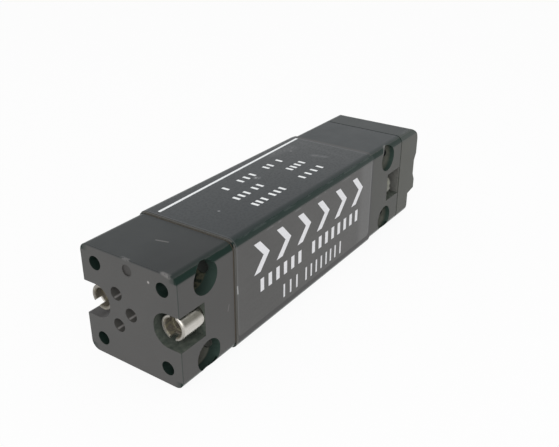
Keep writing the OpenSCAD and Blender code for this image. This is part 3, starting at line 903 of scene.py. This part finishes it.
class EJECTOR_OT_side_print(Operator):
    """Plain marks on the side: a row of flow arrows and two rows of strokes"""
    bl_idname = "ejector.side_print"
    bl_label = "Side print"

    def execute(self, context):
        colours, sizes, _ = settings()
        # Painted shade: the side's ink is a darker copy of the top's white
        ink = ink_finish("side_ink", colours.print_side_shade)
        bottom = 17.9
        height = sizes.arrow_height / MM
        start = -34.0
        arrow = mark(start, start + sizes.arrow_width / MM, bottom, bottom + height)
        edit(arrow, "EDGE")
        vertices = arrow.data.vertices
        choose(arrow, "edges", lambda edge: abs(
            vertices[edge.vertices[0]].co.z - vertices[edge.vertices[1]].co.z) > MM)
        bpy.ops.mesh.subdivide(number_cuts=1)
        bpy.ops.mesh.select_mode(type="VERT")
        middle = (bottom + height / 2) * MM
        choose(arrow, "vertices", lambda vertex: abs(vertex.co.z - middle) < MM)
        bpy.ops.transform.translate(value=(sizes.arrow_reach, 0, 0))
        pitch = sizes.arrow_pitch / MM
        arrows = repeat(arrow, [(i * pitch, 0, 0) for i in range(1, sizes.arrow_count)])
        dress(join(arrows, "flow_arrows"), "flow_arrows", ink)

        tick = mark(-31.4, -29.9, 12.0, 15.7)
        tick_pitch, last, left_out = 3.5, 14, 6
        ticks = repeat(tick, [(i * tick_pitch, 0, 0) for i in range(1, last + 1) if i != left_out])
        dress(join(ticks, "side_ticks"), "side_ticks", ink)

        bar = mark(-21.0, -20.3, 5.0, 9.0)
        steps = (3.1, 6.2, 10.9, 13.6, 16.3, 19.0, 21.7, 24.2, 26.8, 29.8)
        bars = repeat(bar, [(step, 0, 0) for step in steps])
        dress(join(bars, "side_bars"), "side_bars", ink)
        return {"FINISHED"}


class EJECTOR_OT_top_print(Operator):
    """White rule along the top and three rows of plain strokes"""
    bl_idname = "ejector.top_print"
    bl_label = "Top print"

    def execute(self, context):
        colours, sizes, _ = settings()
        ink = ink_finish("top_ink", colours.print_top)
        half = sizes.rule_width / MM / 2
        rule = top_mark(-39.5, 26.4, -half, half)
        slant, offset = -1.4, 10.95
        pick(rule)
        bpy.ops.transform.rotate(value=math.radians(slant), orient_axis="Z", orient_type="GLOBAL",
                                 center_override=(0, 0, 0))
        bpy.ops.transform.translate(value=(0, offset * MM, 0))
        bpy.ops.object.transform_apply(location=True, rotation=True, scale=True)
        dress(rule, "top_rule", ink)
        rows = (
            (5.2, (6.9, 2.4, 0.2, -6.4, -9.2, -12.0, -18.6)),
            (-1.0, (9.6, 7.3, 5.2, 3.2, -11.4, -13.8, -17.4, -19.7, -21.9)),
            (-7.2, (9.6, 6.4, 3.4, 0.2, -9.7, -12.1, -14.4, -18.0, -20.2, -22.1)),
        )
        wide, tall = 0.45, 1.15
        bars = [top_mark(x - wide, x + wide, y - tall, y + tall) for y, row in rows for x in row]
        dress(join(bars, "top_bars"), "top_bars", ink)
        return {"FINISHED"}


class EJECTOR_OT_port_thread(Operator):
    """Internal thread of the vacuum port on the underside"""
    bl_idname = "ejector.port_thread"
    bl_label = "Vacuum port thread"

    def execute(self, context):
        pitch, height, turns, lead_in = 0.907, 0.33, 8, 0.35
        centre = Vector((BODY_LOW.x + VACUUM_PORT_X, 0, lead_in)) * MM
        clear()
        bpy.ops.mesh.primitive_circle_add(vertices=3, radius=pitch * 0.45 * MM,
                                          fill_type="NGON", location=(0, 0, 0))
        thread = bpy.context.object
        bpy.ops.transform.rotate(value=math.radians(90), orient_axis="X", orient_type="GLOBAL",
                                 center_override=(0, 0, 0))
        bpy.ops.transform.translate(value=((VACUUM_PORT_R - height / 4) * MM, 0, pitch * 0.5 * MM))
        bpy.ops.object.transform_apply(location=True, rotation=True, scale=True)
        add_modifier(thread, "SCREW", axis="Z", screw_offset=pitch * MM, iterations=turns,
                     steps=48, render_steps=48, use_merge_vertices=False)
        edit(thread)
        bpy.ops.mesh.select_all(action="SELECT")
        bpy.ops.mesh.remove_doubles(threshold=0.0005 * MM)
        bpy.ops.mesh.normals_make_consistent(inside=False)
        clear()
        pick(thread)
        bpy.ops.transform.translate(value=centre)
        bpy.ops.object.transform_apply(location=True, rotation=True, scale=True)
        smooth(thread)
        dress(thread, "vacuum_port_thread", bpy.data.materials["body_black"])
        return {"FINISHED"}


class EJECTOR_OT_fasteners(Operator):
    """Sleeve nuts, tie screws and cap screws: rounded edges, nickel plate and black steel"""
    bl_idname = "ejector.fasteners"
    bl_label = "Fasteners"

    def execute(self, context):
        colours, _, _ = settings()
        tie_y = (NUT_HIGH.y + NUT_LOW.y) / -2
        nut_plate = nickel_finish("nickel_nuts", tie_y, True)
        screw_plate = nickel_finish("nickel_tie_screws", tie_y, False)
        steel = black_steel_finish(colours.steel)
        rounding = 0.08 * MM
        for side in ("left", "right"):
            for node, plate in (("sleeve_nut_", nut_plate), ("tie_screw_", screw_plate)):
                piece = rounded_copy(node + side, rounding)
                dress(piece, node + side + "_plated", plate, replaced=[node + side])
        for number in range(1, 5):
            node = f"cap_screw_{number}"
            piece = rounded_copy(node, rounding)
            dress(piece, node + "_black", steel, replaced=[node])
        return {"FINISHED"}


class EJECTOR_OT_inside(Operator):
    """Gaskets, nozzle, diffuser, seals and silencer: their own finishes"""
    bl_idname = "ejector.inside"
    bl_label = "Gaskets and inner pieces"

    def execute(self, context):
        colours, _, _ = settings()
        fibre = gasket_finish("gasket_fibre", *[colours.gasket] * 3)
        # The cap gasket's edge tones are painted light in the seam
        sheet = gasket_finish("cap_gasket_rubber", colours.cap_gasket, GASKET_RIM_LIGHT, GASKET_CROWN_LIGHT)
        seal = rubber_finish("seal_rubber", colours.seal)
        finishes = {
            "near_gasket": fibre,
            "far_gasket": fibre,
            "cap_gasket": sheet,
            "motive_nozzle": turned_finish("nozzle_brass", colours.brass, 0.28),
            "diffuser": turned_finish("diffuser_aluminium", colours.aluminium, 0.32),
            "nozzle_seal": seal,
            "diffuser_inlet_seal": seal,
            "diffuser_outlet_seal": seal,
            "silencer": felt_finish(),
        }
        for node, material in finishes.items():
            repaint(node, material)
        return {"FINISHED"}


# Camera's place in millimetres and its directions
CAMERA_PLACE = Vector((-155.84, -105.65, 107.05))
CAMERA_RIGHT = Vector((0.5636, -0.8261, 0.0039))
CAMERA_FORWARD = Vector((0.7419, 0.5041, -0.4421))

# Lamps' size and aim in metres, and their powers in watts
LAMP_SIZE = 0.6
LAMP_AIM = Vector((0, 0, 0.015))
KEY_POWER, FILL_POWER = 4.2, 1.1


def light(name, place, power):
    """A soft square lamp at place, in metres, aimed at the ejector's middle."""
    clear()
    bpy.ops.object.light_add(type="AREA", location=place)
    lamp = bpy.context.object
    lamp.name = name
    lamp.data.shape = "SQUARE"
    lamp.data.size = LAMP_SIZE
    lamp.data.energy = power
    lamp.rotation_mode = "QUATERNION"
    lamp.rotation_quaternion = (Vector(place) - LAMP_AIM).to_track_quat("Z", "Y")


def any_ray(nodes, links, first, *others):
    """A socket that is 1 for rays of the named kinds and 0 for the rest."""
    path = nodes.new("ShaderNodeLightPath")
    seen = path.outputs[first]
    for ray in others:
        either = nodes.new("ShaderNodeMath")
        either.operation = "MAXIMUM"
        links.new(seen, either.inputs[0])
        links.new(path.outputs[ray], either.inputs[1])
        seen = either.outputs[0]
    return seen


class EJECTOR_OT_studio(Operator):
    """Camera, soft lamps, even sky and a white floor"""
    bl_idname = "ejector.studio"
    bl_label = "Studio"

    def execute(self, context):
        _, _, studio = settings()
        scene = context.scene
        scene.view_settings.view_transform = "Standard"
        clear()
        bpy.ops.object.camera_add()
        camera = bpy.context.object
        camera.name = "studio_camera"
        right = CAMERA_RIGHT.normalized()
        forward = CAMERA_FORWARD.normalized()
        up = right.cross(forward)
        turn = Matrix((right, up, -forward)).transposed().to_4x4()
        camera.matrix_world = Matrix.Translation(CAMERA_PLACE * MM) @ turn
        camera.data.lens = studio.lens
        camera.data.sensor_width = 36.0
        camera.data.clip_start, camera.data.clip_end = 0.005, 20.0
        scene.camera = camera

        light("key_lamp", (-0.75, -0.35, 0.45), KEY_POWER * studio.key)
        light("fill_lamp", (0.15, -0.85, 0.30), FILL_POWER * studio.fill)

        clear()
        bpy.ops.mesh.primitive_plane_add(size=6.0, location=(0, 0, -0.0001))
        floor = bpy.context.object
        floor.name = "studio_floor"
        bpy.ops.object.transform_apply(location=True, rotation=True, scale=True)
        floor.data.materials.append(self.floor_finish())
        self.sky(scene, studio.sky)
        clear()
        return {"FINISHED"}

    @staticmethod
    def floor_finish():
        """White floor that keeps a faint shadow; reflections show it white too."""
        material = bpy.data.materials.new("studio_white")
        material.use_nodes = True
        nodes, links = material.node_tree.nodes, material.node_tree.links
        nodes.clear()
        out = nodes.new("ShaderNodeOutputMaterial")
        mix = nodes.new("ShaderNodeMixShader")
        matt = nodes.new("ShaderNodeBsdfDiffuse")
        matt.inputs["Color"].default_value = (0.90, 0.90, 0.90, 1)
        glow = nodes.new("ShaderNodeEmission")
        glow.inputs["Strength"].default_value = 1.0
        share = nodes.new("ShaderNodeMath")
        share.operation = "MULTIPLY"
        share.inputs[1].default_value = 0.92
        seen = any_ray(nodes, links, "Is Camera Ray", "Is Glossy Ray")
        links.new(seen, share.inputs[0])
        links.new(share.outputs[0], mix.inputs["Fac"])
        links.new(matt.outputs[0], mix.inputs[1])
        links.new(glow.outputs[0], mix.inputs[2])
        links.new(mix.outputs[0], out.inputs["Surface"])
        return material

    @staticmethod
    def sky(scene, strength):
        """Even light all round, white to the camera, to reflections and through glass."""
        world = bpy.data.worlds.new("studio_sky")
        scene.world = world
        world.use_nodes = True
        nodes, links = world.node_tree.nodes, world.node_tree.links
        nodes["Background"].inputs["Color"].default_value = (1, 1, 1, 1)
        span = nodes.new("ShaderNodeMapRange")
        span.inputs["To Min"].default_value = strength
        span.inputs["To Max"].default_value = 1.0
        seen = any_ray(nodes, links, "Is Camera Ray", "Is Glossy Ray", "Is Transmission Ray")
        links.new(seen, span.inputs["Value"])
        links.new(span.outputs[0], nodes["Background"].inputs["Strength"])


OPERATORS = (EJECTOR_OT_blocks, EJECTOR_OT_film, EJECTOR_OT_side_print, EJECTOR_OT_top_print,
             EJECTOR_OT_port_thread, EJECTOR_OT_fasteners, EJECTOR_OT_inside, EJECTOR_OT_studio)


class EJECTOR_PT_panel(Panel):
    bl_idname = "EJECTOR_PT_panel"
    bl_label = "Vacuum ejector"
    bl_space_type = "VIEW_3D"
    bl_region_type = "UI"
    bl_category = "Ejector"

    def draw(self, context):
        layout = self.layout
        for group in settings():
            box = layout.box()
            for name in group.bl_rna.properties.keys():
                if name not in ("rna_type", "name"):
                    box.prop(group, name)
        for operator in OPERATORS:
            layout.operator(operator.bl_idname)


CLASSES = (EjectorColours, EjectorSizes, EjectorStudio, *OPERATORS, EJECTOR_PT_panel)


def register():
    for cls in CLASSES:
        bpy.utils.register_class(cls)
    bpy.types.Scene.ejector_colours = PointerProperty(type=EjectorColours)
    bpy.types.Scene.ejector_sizes = PointerProperty(type=EjectorSizes)
    bpy.types.Scene.ejector_studio = PointerProperty(type=EjectorStudio)


def unregister():
    del bpy.types.Scene.ejector_studio
    del bpy.types.Scene.ejector_sizes
    del bpy.types.Scene.ejector_colours
    for cls in reversed(CLASSES):
        bpy.utils.unregister_class(cls)


def main():
    register()
    for operator in OPERATORS:
        group, name = operator.bl_idname.split(".")
        getattr(getattr(bpy.ops, group), name)()


if __name__ == "__main__":
    main()
